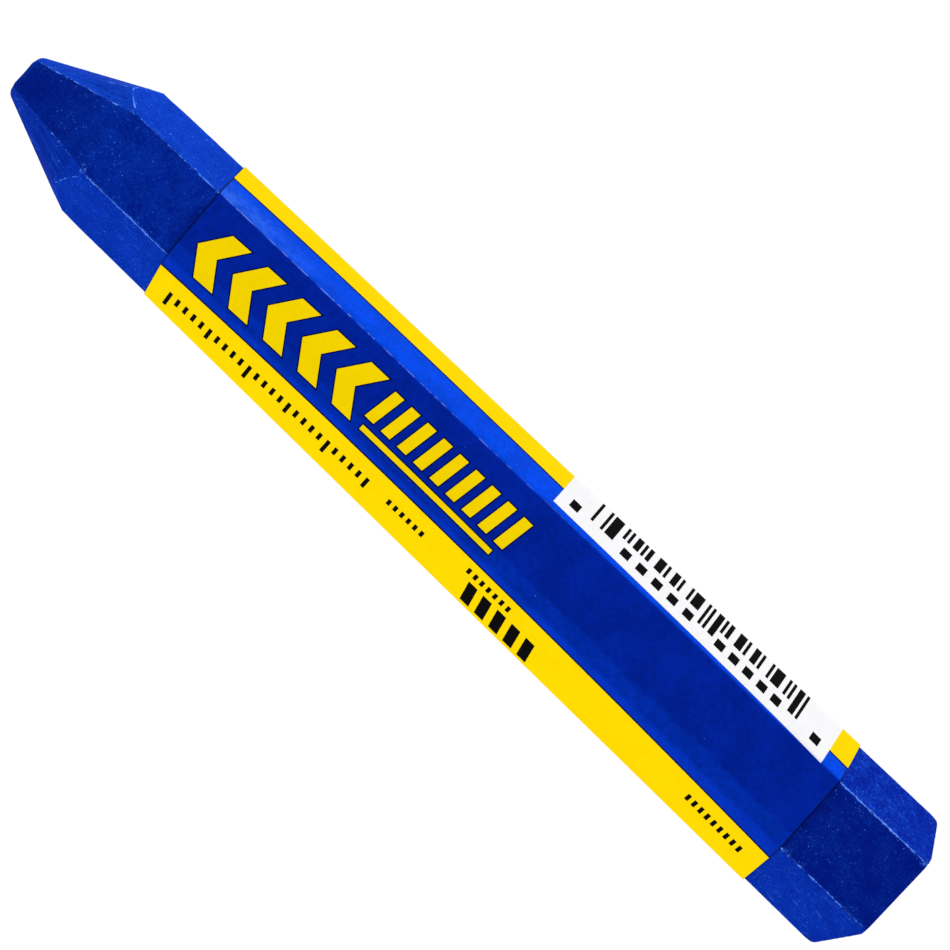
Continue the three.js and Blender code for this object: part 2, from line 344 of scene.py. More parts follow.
blue_wax, tree, wax_surface, place = new_material("blue_wax")
ridge = add_node(tree, "Attribute", attribute_name="from_ridge").outputs["Fac"]
knock = add_node(tree, "Attribute", attribute_name="knock").outputs["Fac"]
facing = add_node(tree, "TexCoord").outputs["Normal"]
facing_up = add_node(tree, "SeparateXYZ", {"Vector": facing}).outputs["Z"]
up = add_node(tree, "Math", {0: facing_up}, operation="ABSOLUTE").outputs[0]
side = ramp(tree, up, 0.94, 0.70)
axes = add_node(tree, "SeparateXYZ", {"Vector": place}).outputs
cloud = noise_at(tree, place, cloud_size, 4, 0.6)
grain = noise_at(tree, place, grain_size, 5, 0.8)
fibre = noise_at(tree, place, fibre_size, 3, 0.7)
mottle = ramp(tree, grain, 0.45, 0.66)
to_quiet = ramp(tree, axes["Y"], -side_blend, side_blend)
quiet_side = times(tree, side, to_quiet)
lively_side = times(tree, side, ramp(tree, axes["Y"], side_blend, -side_blend))
near_ridge = ramp(tree, ridge, 0.95, 0.15)
to_butt = ramp(tree, axes["X"], 10 * mm, -45 * mm)

# The wax is cloudy, with a paler bloom in its grain. The -Y side has the livelier grain. Painted
# light makes the sides lighter than the top, and painted shade makes the wax darker towards the
# butt.
tone = blend(tree, ramp(tree, cloud, 0.35, 0.68), deep_wax, lit_wax)
tone = lay(tree, tone, bloom_and_side_light_wax, mottle, strength=0.42)
# Painted light: the +Y side a little lighter than the top.
tone = lay(tree, tone, bloom_and_side_light_wax, quiet_side, strength=0.22)
# Painted light mixed with grain: the sides lighter through the mottle, the -Y side most.
side_light_mottle = plus(tree, times(tree, lively_side, 0.50), times(tree, quiet_side, 0.16))
tone = blend(tree, times(tree, side_light_mottle, mottle), tone, bloom_and_side_light_wax)
# Partly wear and partly painted light: paler mottle near the ridges, laid on the -Y side only.
ridge_rub_and_side_light = times(tree, times(tree, lively_side, near_ridge), mottle)
tone = lay(tree, tone, rubbed_and_side_light_wax, ridge_rub_and_side_light, strength=0.60)
tone = lay(tree, tone, bloom_and_side_light_wax, ramp(tree, fibre, 0.56, 0.74), strength=0.45)
tone = lay(tree, tone, deep_wax, ramp(tree, fibre, 0.44, 0.28), strength=0.50)
# Painted light: the -Y side lighter towards the tip.
side_light_to_tip = times(tree, lively_side, ramp(tree, axes["X"], -40 * mm, 45 * mm))
tone = lay(tree, tone, rubbed_and_side_light_wax, side_light_to_tip, strength=0.22)
# Painted shade: the top and the sides darker towards the butt.
top_shade_to_butt = times(tree, to_butt, ramp(tree, up, 0.70, 0.94))
tone = lay(tree, tone, painted_shade_wax, top_shade_to_butt, strength=0.65)
tone = lay(tree, tone, painted_shade_wax, times(tree, to_butt, side), strength=0.28)
patches = ramp(tree, noise_at(tree, place, patch_size, 5, 0.75), 0.42, 0.62)
bloomed = times(tree, patches, ramp(tree, fibre, 0.42, 0.66))
tone = lay(tree, tone, rubbed_and_side_light_wax, bloomed, strength=0.34)
# Painted shade: the -Y side darker still towards the butt.
lively_butt = times(tree, lively_side, to_butt)
tone = lay(tree, tone, painted_shade_wax, lively_butt, strength=0.30)
clumps = times(tree, times(tree, patches, mottle), lively_butt)
tone = lay(tree, tone, rubbed_and_side_light_wax, clumps, strength=0.45)

# The trimmed facets get painted shade: the +Y ones, and the top one towards the nose. Drag marks
# fan out over the side ones from the end of the point.
from_apex = add_node(tree, "VectorMath", {0: place, 1: point_apex}, operation="SUBTRACT")
reach = add_node(tree, "SeparateXYZ", {"Vector": from_apex.outputs[0]}).outputs
on_point = times(tree, ramp(tree, reach["X"], trimmed_from, trimmed_to), side)
tone = lay(tree, tone, painted_shade_wax, times(tree, on_point, to_quiet), strength=0.42)
nose_top = times(tree, ramp(tree, reach["X"], -15 * mm, -9 * mm), ramp(tree, side, 1, 0))
tone = lay(tree, tone, painted_shade_wax, nose_top, strength=0.40)
across, upward = (add_node(tree, "Math", {0: reach[axis], 1: reach["X"]},
                           operation="DIVIDE").outputs[0] for axis in "YZ")
fan = add_node(tree, "CombineXYZ", {"X": times(tree, reach["X"], 4.0), "Y": across, "Z": upward})
drag = noise_at(tree, fan.outputs[0], drag_width, 3, 0.7)
light_drag = times(tree, ramp(tree, drag, 0.50, 0.66), on_point)
dark_drag = times(tree, ramp(tree, drag, 0.48, 0.34), on_point)
tone = lay(tree, tone, rubbed_and_side_light_wax, light_drag, strength=0.40)
tone = lay(tree, tone, deep_wax, dark_drag, strength=0.40)

# The ridges are rubbed pale along lines of uneven width, and rough where they were knocked.
broken = ramp(tree, noise_at(tree, place, break_size, 4, 0.75), 0.34, 0.66)
line_reach = add_node(tree, "Math", {0: times(tree, broken, broken), 1: 0.11, 2: 0.025},
                      operation="MULTIPLY_ADD").outputs[0]
past_line = add_node(tree, "Math", {0: ridge, 1: line_reach}, operation="SUBTRACT").outputs[0]
scuff = ramp(tree, past_line, 0.03, -0.03)
tone = lay(tree, tone, scuffed_wax, scuff, strength=0.85)
core = times(tree, ramp(tree, past_line, 0, -0.06), ramp(tree, broken, 0.55, 0.95))
tone = lay(tree, tone, clay_speck, core, strength=0.45)
fresh = times(tree, ramp(tree, knock, 0.10, 0.50), ramp(tree, broken, 0.45, 0.62))
tone = lay(tree, tone, scuffed_wax, fresh, strength=0.60)

# Specks of clay and crumbs of wax gather in patches, with short scratches along the sides.
gathered = ramp(tree, noise_at(tree, place, gather_size, 3), 0.42, 0.64)
ruffle = add_node(tree, "TexNoise", {"Vector": place, "Scale": 1 / ruffle_size}).outputs["Color"]
ruffle = add_node(tree, "VectorMath", {0: ruffle, 3: ruffle_reach}, operation="SCALE").outputs[0]
ragged_place = add_node(tree, "VectorMath", {0: place, 1: ruffle}, operation="ADD").outputs[0]
crumbs = plus(tree, times(tree, gathered, 0.31), times(tree, near_ridge, 0.25))
crumbs = plus(tree, crumbs, times(tree, lively_butt, 0.26))
fine_specks = speck_mask(tree, ragged_place, 0.30 * mm, 0.24, crumbs)
large_specks = speck_mask(tree, ragged_place, 0.85 * mm, 0.12, times(tree, gathered, 0.22))
tone = lay(tree, tone, scuffed_wax, fine_specks, strength=0.45)
tone = lay(tree, tone, clay_speck, large_specks, strength=0.65)
scratch = noise_at(tree, ragged_place, scratch_size, 2, stretch=(0.16, 1, 1))
scratch = times(tree, ramp(tree, scratch, 0.66, 0.72), times(tree, side, gathered))
tone = lay(tree, tone, scuffed_wax, scratch, strength=0.24)
tree.links.new(tone, wax_surface.inputs["Base Color"])
wax_surface.inputs["Specular IOR Level"].default_value = 0.005
wax_surface.inputs["Specular Tint"].default_value = blue_gloss
rough = add_node(tree, "MapRange", {"Value": grain, "To Min": 0.45, "To Max": 0.65})
tree.links.new(rough.outputs[0], wax_surface.inputs["Roughness"])
height = plus(tree, times(tree, grain, 0.5), times(tree, scuff, 0.12))
bump = add_node(tree, "Bump", {"Height": height, "Strength": 0.35, "Distance": 0.06 * mm})
tree.links.new(bump.outputs[0], wax_surface.inputs["Normal"])

wax_stick.data.materials.clear()
wax_stick.data.materials.append(blue_wax)
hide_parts("crayon_stick")
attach(wax_stick, "root")

# The label's film. It is one thin sheet of printed plastic film, blue all over, wrapped once
# round the stick and lapped on the hidden lower side. It bridges the ridges a little, so it
# stands slightly proud near them, and both of its ends are cut a little out of square.
glue_gap = 0.06 * mm
film_thickness = stick_low.z - glue_gap
film_lift = glue_gap + film_thickness
film_bulge = 0.06 * mm
film_waves = 0.012 * mm
label_butt_x = stick_low.x + 11.4 * mm
label_tip_x = label_butt_x + 80.6 * mm
label_middle_x = (label_butt_x + label_tip_x) / 2
# Faces are counted from the top one, 0, towards -Y: 1 and 2 are that side's, 3 or -3 the lowest.
bottom_face, lap_face = -3, 2
butt_end_slant = math.tan(math.radians(1.6))
tip_end_slant = math.tan(math.radians(3.6))
lap_half = 2.2 * mm
lap_ramp = 0.9 * mm
wave_length, wave_turn = 7 * mm, 2.2
ridge_cuts = 6
flat_cuts = 14
film_step = 0.6 * mm


def side_at(x):
    """The film's length from the middle of one face to the middle of the next, at x."""
    flat = 2 * (apothem_at(x) - ridge_radius) * math.tan(math.pi / faces)
    return flat + (ridge_radius + film_lift) * 2 * math.pi / faces


def ridge_half(x):
    """Half of the film's bend over a ridge, in faces."""
    return (ridge_radius + film_lift) * math.pi / faces / side_at(x)


def film_point(x, turn, lift):
    """A point of the film. turn counts faces from the middle of the top towards -Y."""
    face = math.floor(turn + 0.5)
    across = turn - face
    bend = ridge_half(x)
    apothem = apothem_at(x)
    if abs(across) <= 0.5 - bend:
        angle = (face + 1.5) * math.tau / faces
        slide = across * side_at(x)
        y = math.cos(angle) * (apothem + lift) - math.sin(angle) * slide
        z = math.sin(angle) * (apothem + lift) + math.cos(angle) * slide
    else:
        side = math.copysign(1, across)
        corner_angle = (face + 1.5 + 0.5 * side) * math.tau / faces
        from_corner = across - 0.5 * side
        angle = corner_angle + from_corner / bend * math.pi / faces
        reach = (apothem - ridge_radius) / math.cos(math.pi / faces)
        y = math.cos(corner_angle) * reach + math.cos(angle) * (ridge_radius + lift)
        z = math.sin(corner_angle) * reach + math.sin(angle) * (ridge_radius + lift)
    return Vector((x, y, z + apothem + film_lift))


def film_rise(x, turn):
    """How far the film stands off the flats and ridges, apart from the one underneath."""
    face = math.floor(turn + 0.5)
    if face == bottom_face:
        return 0.0
    across = 2 * (turn - face)
    crown = film_bulge * (1 - across ** 4)
    wave = noise.noise(Vector((x / wave_length, turn * wave_turn, 4.0)))
    return crown + film_waves * (0.5 + 0.5 * wave) * (1 - across ** 2)


def turns_between(low, high):
    """Places round the film from low to high: even steps on the flats, finer on the bends."""
    bend = ridge_half(label_middle_x)
    places = []
    for face in range(lap_face - faces - 1, lap_face + 2):
        places += list(np.linspace(face - 0.5 + bend, face + 0.5 - bend, flat_cuts))
        places += list(np.linspace(face + 0.5 - bend, face + 0.5 + bend, ridge_cuts + 1))[1:-1]
    return [low] + [p for p in places if low < p < high] + [high]


def lap_rise(x, turn):
    """The film climbs onto itself near its trailing edge."""
    slide = (turn - lap_face) * side_at(x)
    part = min(max((slide + lap_half + lap_ramp) / lap_ramp, 0), 1)
    return film_lift * part * part * (3 - 2 * part)


def label_ends(turn):
    """Where the film starts and ends along the stick: both its ends are cut askew."""
    wrapped = turn * side_at(label_middle_x)
    return label_butt_x + wrapped * butt_end_slant, label_tip_x + wrapped * tip_end_slant


lap_turn = lap_half / side_at(label_middle_x)
film_turns = turns_between(lap_face - faces - lap_turn, lap_face + lap_turn)
film_rows = round((label_tip_x - label_butt_x) / film_step)
edge_shadow_width = 0.09 * mm
bm = bmesh.new()
around_layer = bm.verts.layers.float.new("around")
sheets = []
for top in (True, False):
    rows = []
    for turn in film_turns:
        butt_x, tip_x = label_ends(turn)
        stops = [butt_x + (tip_x - butt_x) * i / film_rows for i in range(film_rows + 1)]
        stops = [butt_x, butt_x + edge_shadow_width] + stops[1:-1] + [tip_x - edge_shadow_width, tip_x]
        row = []
        for x in stops:
            rise = film_rise(x, turn) if top else 0.0
            lift = (film_lift if top else glue_gap) + rise + lap_rise(x, turn)
            row.append(bm.verts.new(film_point(x, turn, lift)))
            row[-1][around_layer] = turn
        rows.append(row)
    sheets.append(rows)
over, under = sheets
wide, deep = len(over), len(over[0])
for i in range(wide - 1):
    for j in range(deep - 1):
        bm.faces.new((over[i][j], over[i][j + 1], over[i + 1][j + 1], over[i + 1][j]))
        bm.faces.new((under[i][j], under[i + 1][j], under[i + 1][j + 1], under[i][j + 1]))
for i in range(wide - 1):
    for j in (0, deep - 1):
        bm.faces.new((over[i][j], over[i + 1][j], under[i + 1][j], under[i][j]))
for j in range(deep - 1):
    for i in (0, wide - 1):
        bm.faces.new((over[i][j], under[i][j], under[i][j + 1], over[i][j + 1]))
bmesh.ops.recalc_face_normals(bm, faces=bm.faces)
label_film = new_piece("label_film", bm)


def shade_smooth(piece, angle):
    """Smooth, but with sharp edges kept where the faces meet at more than the angle."""
    mesh = piece.data
    mesh.shade_smooth()
    bm = bmesh.new()
    bm.from_mesh(mesh)
    for edge in bm.edges:
        edge.smooth = edge.calc_face_angle(0) < angle
    bm.to_mesh(mesh)
    bm.free()


film_crisp_angle = math.radians(35)
shade_smooth(label_film, film_crisp_angle)

film_blue = (0.0008, 0.0190, 0.365, 1)
film_blue_lit = (0.0008, 0.0285, 0.450, 1)
film_side_blue_lit = (0.0008, 0.0500, 0.595, 1)
film_sheen = (0.0330, 0.1400, 0.720, 1)
film_ridge_highlight = (0.2000, 0.3400, 0.930, 1)
edge_shadow_colour = (0.002, 0.004, 0.03, 1)
film_dust = (0.7, 0.75, 0.9, 1)
fine_grain, broad_grain, dust_spacing = 0.5 * mm, 3.5 * mm, 1.6 * mm
film_patches, film_breaks = 1.8 * mm, 1.4 * mm

# Printed film everywhere has the wax's grain showing through it, faint waves and some dust.
film_look, given, result = new_group(
    "film_look", {"Colour": "Color", "Place": "Vector", "Grain": "Float", "Dust": "Float"},
    {"Colour": "Color", "Roughness": "Float", "Normal": "Vector"})
fine = noise_at(film_look, given["Place"], fine_grain, 3, 0.65)
broad = noise_at(film_look, given["Place"], broad_grain, 3, 0.55)
darker = blend(film_look, 0.28, given["Colour"], (0, 0, 0, 1))
both = plus(film_look, times(film_look, fine, 0.5), times(film_look, broad, 0.5))
shade = times(film_look, ramp(film_look, both, 0.62, 0.38), given["Grain"])
look_tone = blend(film_look, shade, given["Colour"], darker)
dust = speck_mask(film_look, given["Place"], dust_spacing, 0.035, 0.25)
look_tone = lay(film_look, look_tone, film_dust, dust, given["Dust"])
rough = add_node(film_look, "MapRange", {"Value": broad, "To Min": 0.30, "To Max": 0.46})
bump = add_node(film_look, "Bump", {"Height": fine, "Strength": 0.10, "Distance": 0.03 * mm})
film_look.links.new(look_tone, result["Colour"])
film_look.links.new(rough.outputs[0], result["Roughness"])
film_look.links.new(bump.outputs[0], result["Normal"])


def print_material(name, colour, grain, dust, gloss, tint):
    """A printed place of the film. The colour is a plain one or made by a function."""
    material, tree, surface, place = new_material(name)
    if callable(colour):
        colour = colour(tree, place)
    inputs = {"Colour": colour, "Place": place, "Grain": grain, "Dust": dust}
    look = add_node(tree, "Group", inputs, node_tree=film_look).outputs
    tree.links.new(look["Colour"], surface.inputs["Base Color"])
    tree.links.new(look["Roughness"], surface.inputs["Roughness"])
    tree.links.new(look["Normal"], surface.inputs["Normal"])
    surface.inputs["Specular IOR Level"].default_value = gloss
    surface.inputs["Specular Tint"].default_value = tint
    return material


def film_colour(tree, place):
    """Deep blue on top, lighter along the lower ridge and on the side of the thin stripe. Both
    lighter places are painted light, and that side also has a painted sheen towards the tip and a
    broken painted highlight along its ridge.
    """
    x = add_node(tree, "SeparateXYZ", {"Vector": place}).outputs["X"]
    around = add_node(tree, "Attribute", attribute_name="around").outputs["Fac"]
    patches = noise_at(tree, place, film_patches, 5, 0.7)
    wavering = add_node(tree, "Math", {0: patches, 1: 0.22, 2: around},
                        operation="MULTIPLY_ADD").outputs[0]
    # Painted light: a wavering lighter band along the lower ridge, and the faces beyond it lighter.
    lit_band = plus(tree, ramp(tree, wavering, -0.15, -0.22), ramp(tree, around, 1.47, 1.53))
    colour = blend(tree, lit_band, film_blue, film_blue_lit)
    # Painted light on the side of the thin stripe: its blue is lighter than the top's, with a
    # painted sheen towards the tip.
    to_tip = ramp(tree, x, 12 * mm, 38 * mm)
    sheen = times(tree, times(tree, to_tip, to_tip), ramp(tree, patches, 0.24, 0.66))
    sheen = times(tree, sheen, ramp(tree, around, 0.98, 0.60))
    side_colour = lay(tree, film_side_blue_lit, film_sheen, sheen, strength=0.80)
    on_side = times(tree, ramp(tree, around, 0.485, 0.505), ramp(tree, around, 1.53, 1.47))
    colour = blend(tree, on_side, colour, side_colour)
    # A broken painted highlight along the ridge above the thin stripe, towards the tip.
    off_ridge = add_node(tree, "Math", {0: around, 1: 0.498}, operation="SUBTRACT").outputs[0]
    off_ridge = add_node(tree, "Math", {0: off_ridge}, operation="ABSOLUTE").outputs[0]
    broken = ramp(tree, noise_at(tree, place, film_breaks, 4, 0.7), 0.44, 0.60)
    ridge_highlight = times(tree, times(tree, ramp(tree, off_ridge, 0.011, 0.003), broken),
                   ramp(tree, x, -16 * mm, 12 * mm))
    return lay(tree, colour, film_ridge_highlight, ridge_highlight, strength=0.62)


blue_film = print_material("printed_film", film_colour, 0.9, 0.25, 0.005, blue_gloss)
label_film.data.materials.append(blue_film)
# Painted shadow: the film's ends and a narrow strip beside them are nearly black, where the film
# stands off the wax.
edge_shadow_material = print_material("film_edge_painted_shadow", edge_shadow_colour, 0.5, 0.1, 0.02, blue_gloss)
label_film.data.materials.append(edge_shadow_material)
for polygon in label_film.data.polygons:
    corners = [label_film.data.vertices[v].co for v in polygon.vertices]
    lengths = [abs(a.x - b.x) for a, b in zip(corners, corners[1:])]
    if max(lengths) < 1.5 * edge_shadow_width:
        polygon.material_index = 1
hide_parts("label_wrap")
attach(label_film, "root")

# The printed inks. They are layers on the film a few hundredths of a millimetre thick: a dark
# key line under every yellow shape, the yellow and white on it, and the black last of all.
# The print runs a little askew on the tapered stick, as the wrapped sheet does.
ink_sunk = 0.02 * mm
key_height = 0.006 * mm
colour_height = 0.012 * mm
black_height = 0.018 * mm
key_width = 0.13 * mm
stripe_key_width = 0.26 * mm
# The print creeps with the square of the distance from the middle, by this much for a metre.
bow_middle = 10 * mm
bow_to_tip, bow_to_butt = 1.0, 0.52


def print_shift(x):
    """How far the print has crept towards +Y at x."""
    from_middle = x - bow_middle
    return (bow_to_tip if from_middle > 0 else bow_to_butt) * from_middle ** 2


def grown(outline, width):
    """The outline moved outwards by width all round."""
    result = []
    area = sum(a[0] * b[1] - b[0] * a[1] for a, b in zip(outline, outline[1:] + outline[:1]))
    sign = 1 if area > 0 else -1
    for before, here, after in zip(outline[-1:] + outline[:-1], outline, outline[1:] + outline[:1]):
        first = (Vector(here) - Vector(before)).normalized()
        second = (Vector(after) - Vector(here)).normalized()
        out = Vector((first.y + second.y, -first.x - second.x)) * sign
        out *= width / max(out.length_squared / 2, 0.2)
        result.append((here[0] + out.x, here[1] + out.y))
    return result


def put_in_order(parts, place):
    """Sorts corners or faces by place, because raising them leaves no fixed order."""
    ranked = sorted(parts, key=lambda part: place(part)[:])
    ranks = {part: rank for rank, part in enumerate(ranked)}
    parts.sort(key=lambda part: ranks[part])


def ink_piece(name, outlines, material, height):
    """Ink on the film, from outlines given in x and in distance round it towards -Y."""
    bm = bmesh.new()
    for outline in outlines:
        bm.faces.new([bm.verts.new((x, around, 0)) for x, around in outline])
    for x in np.arange(label_butt_x, label_tip_x, film_step):
        bmesh.ops.bisect_plane(bm, geom=bm.verts[:] + bm.edges[:] + bm.faces[:],
                               plane_co=(x, 0, 0), plane_no=(1, 0, 0))
    for vert in bm.verts:
        vert.co.y = (vert.co.y - print_shift(vert.co.x)) / side_at(vert.co.x)
    turns = [vert.co.y for vert in bm.verts]
    for turn in turns_between(min(turns), max(turns))[1:-1]:
        bmesh.ops.bisect_plane(bm, geom=bm.verts[:] + bm.edges[:] + bm.faces[:],
                               plane_co=(0, turn, 0), plane_no=(0, 1, 0))
    raised = bmesh.ops.extrude_face_region(bm, geom=bm.faces[:], use_keep_orig=True)
    top = {v for v in raised["geom"] if isinstance(v, bmesh.types.BMVert)}
    for vert in bm.verts:
        x, turn = vert.co.x, vert.co.y
        lift = film_lift + film_rise(x, turn) + (height if vert in top else -ink_sunk)
        vert.co = film_point(x, turn, lift)
    bmesh.ops.recalc_face_normals(bm, faces=bm.faces)
    put_in_order(bm.verts, lambda vert: vert.co)
    put_in_order(bm.faces, lambda face: face.calc_center_median())
    piece = new_piece(name, bm)
    shade_smooth(piece, film_crisp_angle)
    piece.data.materials.append(material)
    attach(piece, "root")


def block(x_from, x_to, around_from, around_to, lean=0.0):
    """A four-sided mark. lean moves its far edge along the stick."""
    return [(x_from, around_from), (x_to, around_from),
            (x_to + lean, around_to), (x_from + lean, around_to)]


yellow_gloss = (1.0, 0.8, 0.02, 1)
plain_gloss = (1.0, 1.0, 1.0, 1)
key_line = print_material("key_line", (0.0006, 0.003, 0.05, 1), 0.3, 0.0, 0.02, blue_gloss)
# One yellow ink in three colours: it is set darker on the side stripes than on top, as painted
# shade that evens out the stronger light on the sides.
thin_yellow_shaded, wide_yellow_shaded, top_yellow = (
    print_material(name, colour, 0.15, 0.04, 0.004, yellow_gloss) for name, colour in (
        ("stripe_yellow_side", (0.685, 0.480, 0.0004, 1)),
        ("stripe_yellow_scale", (0.82, 0.580, 0.0004, 1)),
        ("motif_yellow", (1.0, 0.72, 0.0004, 1))))
panel_white = print_material("panel_white", (0.635, 0.635, 0.645, 1), 0.12, 0.0, 0.02,
                             plain_gloss)
ink_black = print_material("ink_black", (0.0022, 0.0022, 0.0026, 1), 0.3, 0.03, 0.003,
                           plain_gloss)

# The two yellow stripes along the sides, and the white panel that interrupts the thin one.
label_margin = 0.02 * mm
stripe_inner = 8.65 * mm
stripe_outer = 14.6 * mm
wide_stripe_inner = -5.0 * mm
wide_stripe_outer = -15.0 * mm
panel_tip_x = -7.85 * mm
panel_butt_x = -43.1 * mm
panel_inner = 5.2 * mm
panel_inner_butt = 5.65 * mm
panel_outer = 15.4 * mm


def end_x(x, around, at_tip):
    """The label's end at this distance round it, for print that bleeds off the sheet."""
    turn = (around - print_shift(x)) / side_at(x)
    return label_ends(turn)[1] - label_margin if at_tip else label_ends(turn)[0] + label_margin


def bleeding(x_from, x_to, around_from, around_to):
    """A band that runs off one end of the label, or off both, where its x is None."""
    corners = []
    for around in (around_from, around_to):
        low = end_x(label_butt_x, around, False) if x_from is None else x_from
        high = end_x(label_tip_x, around, True) if x_to is None else x_to
        corners.append((low, high))
    (low_a, high_a), (low_b, high_b) = corners
    return [(low_a, around_from), (high_a, around_from), (high_b, around_to), (low_b, around_to)]


thin_stripe = [bleeding(panel_tip_x, None, stripe_inner, stripe_outer),
               bleeding(None, panel_butt_x, stripe_inner, stripe_outer)]
wide_stripe = [bleeding(None, None, wide_stripe_inner, wide_stripe_outer)]
panel = [[(panel_butt_x, panel_inner_butt), (panel_tip_x, panel_inner),
          (panel_tip_x, panel_outer), (panel_butt_x, panel_outer)]]
ink_piece("thin_stripe", thin_stripe, thin_yellow_shaded, colour_height)
ink_piece("wide_stripe", wide_stripe, wide_yellow_shaded, colour_height)
ink_piece("white_panel", panel, panel_white, colour_height)
key_edges = [bleeding(tip_x, butt_x, inner - stripe_key_width, inner + stripe_key_width)
             for tip_x, butt_x, inner in ((panel_tip_x, None, stripe_inner),
                                          (None, panel_butt_x, stripe_inner),
                                          (None, None, wide_stripe_inner))]
ink_piece("stripe_key_lines", key_edges, key_line, key_height)

# The yellow marks on top: five chevrons that point to the writing end, then a row of narrow
# leaning bars over a plain rule.
chevron_tip_x = 33.2 * mm
chevron_pitch = 4.42 * mm
chevron_count = 5
chevron_arm = 2.35 * mm
chevron_reach = 1.9 * mm
chevron_low = -3.2 * mm
chevron_high = 2.2 * mm
bar_tip_x = 10.6 * mm
bar_pitch = 2.12 * mm
bar_count = 9
bar_width = 1.15 * mm
bar_lean = 0.55 * mm
bar_low = -1.9 * mm
bar_high = 1.75 * mm
rule_tip_x = 10.1 * mm
rule_butt_x = -6.9 * mm
rule_low = -3.15 * mm
rule_high = -2.62 * mm

yellow_marks = []
for i in range(chevron_count):
    nose = chevron_tip_x - i * chevron_pitch
    middle = (chevron_low + chevron_high) / 2
    yellow_marks.append([
        (nose, middle),
        (nose - chevron_reach, chevron_high),
        (nose - chevron_reach - chevron_arm, chevron_high),
        (nose - chevron_arm, middle),
        (nose - chevron_reach - chevron_arm, chevron_low),
        (nose - chevron_reach, chevron_low),
    ])
for i in range(bar_count):
    front = bar_tip_x - i * bar_pitch
    yellow_marks.append(block(front - bar_width, front, bar_low, bar_high, -bar_lean))
yellow_marks.append(block(rule_butt_x, rule_tip_x, rule_low, rule_high))
key_marks = [grown(mark, key_width) for mark in yellow_marks]
ink_piece("motif_key_lines", key_marks, key_line, key_height)
ink_piece("yellow_motif", yellow_marks, top_yellow, colour_height)

# The black marks: plain graduations and blocks on the wide stripe, and plain upright bars of
# mixed widths on the white panel. None of them says anything.
tick_width = 0.42 * mm
tick_top = -7.4 * mm
long_tick, middle_tick, short_tick = 2.4 * mm, 1.9 * mm, 1.3 * mm
scale_tip_x = 32.2 * mm
scale_ticks = 26
tick_pitch = 1.03 * mm
dash_pitch = 0.86 * mm
# Each row of dashes: its tip end, how many, the edge nearer the top face, and their length.
dash_rows = ((3.5 * mm, 6, -7.4 * mm, 1.0 * mm), (-6.5 * mm, 7, -6.2 * mm, 1.0 * mm),
             (-36.4 * mm, 9, -7.1 * mm, 1.2 * mm))
slab_tip_x, slab_count, slab_pitch = -7.9 * mm, 5, 1.9 * mm
slab_low, slab_high, slab_lean = -11.4 * mm, -8.0 * mm, 0.5 * mm
slab_width = 1.15 * mm

black_marks = []
for i in range(scale_ticks):
    x = scale_tip_x - i * tick_pitch
    length = long_tick if i % 10 == 0 else middle_tick if i % 5 == 0 else short_tick
    black_marks.append(block(x - tick_width, x, tick_top - length, tick_top))
for first_x, count, top, length in dash_rows:
    for i in range(count):
        x = first_x - i * dash_pitch
        black_marks.append(block(x - tick_width, x, top - length, top))
for i in range(slab_count):
    x = slab_tip_x - i * slab_pitch
    black_marks.append(block(x - slab_width, x, slab_low, slab_high, slab_lean))
ink_piece("scale_marks", black_marks, ink_black, black_height)

panel_bars_tip_x, panel_bars_butt_x = -11.6 * mm, -39.1 * mm
panel_bars_outer = 14.2 * mm
bars_inset, long_bars_inset = 4.5 * mm, 2.6 * mm
panel_bar_widths = [0.33, 0.33, 1.1, 0.33, 0.33, 0.7, 0.33, 0.5, 0.9, 0.33, 0.7]
gap_share = 0.8
# The longer bars stand at the ends and in the middle.
long_bars = ((-14.6 * mm, -11.5 * mm), (-27.8 * mm, -25.4 * mm), (-39.2 * mm, -37.0 * mm))
chip_width, chip_low, chip_high = 1.1 * mm, 1.6 * mm, 3.3 * mm
# Each row of small blocks between the bars and the top ridge: its tip end, count and pitch.
chip_rows = ((-9.2 * mm, 1, 0), (-15.8 * mm, 5, 2.05 * mm),
             (-28.2 * mm, 5, 1.85 * mm), (-40.8 * mm, 1, 0))


def panel_edge(x):
    """The white panel's edge beside the top face, at x."""
    part = (x - panel_tip_x) / (panel_butt_x - panel_tip_x)
    return panel_inner + (panel_inner_butt - panel_inner) * part


panel_bars = []
x, i = panel_bars_tip_x, 0
while x > panel_bars_butt_x:
    width = panel_bar_widths[i % len(panel_bar_widths)] * mm
    gap = panel_bar_widths[(i * 4 + 2) % len(panel_bar_widths)] * mm * gap_share
    is_long = any(low < x < high for low, high in long_bars)
    inner = panel_edge(x) + (long_bars_inset if is_long else bars_inset)
    panel_bars.append(block(x - width, x, inner, panel_bars_outer))
    x -= width + gap
    i += 1
for first_x, count, pitch in chip_rows:
    for i in range(count):
        x = first_x - i * pitch
        inner = panel_edge(x)
        panel_bars.append(block(x - chip_width, x, inner + chip_low, inner + chip_high))
ink_piece("panel_bars", panel_bars, ink_black, black_height)

# The two strips of glue that hold the film: one ties its leading edge to the wax, and the
# other closes the lap. Both are pale hot-melt, laid as thin lines and pressed flat.
glue_streaks = 0.6 * mm
glue_dark, glue_pale = (0.62, 0.55, 0.40, 1), (0.82, 0.77, 0.62, 1)
glue, tree, glue_surface, place = new_material("label_glue")
streak = noise_at(tree, place, glue_streaks, 3, 0.6, stretch=(0.15, 1, 1))
glue_tone = blend(tree, ramp(tree, streak, 0.35, 0.65), glue_dark, glue_pale)
tree.links.new(glue_tone, glue_surface.inputs["Base Color"])
glue_rough = add_node(tree, "MapRange", {"Value": streak, "To Min": 0.35, "To Max": 0.55})
tree.links.new(glue_rough.outputs[0], glue_surface.inputs["Roughness"])
glue_bump = add_node(tree, "Bump", {"Height": streak, "Strength": 0.2, "Distance": 0.02 * mm})
tree.links.new(glue_bump.outputs[0], glue_surface.inputs["Normal"])
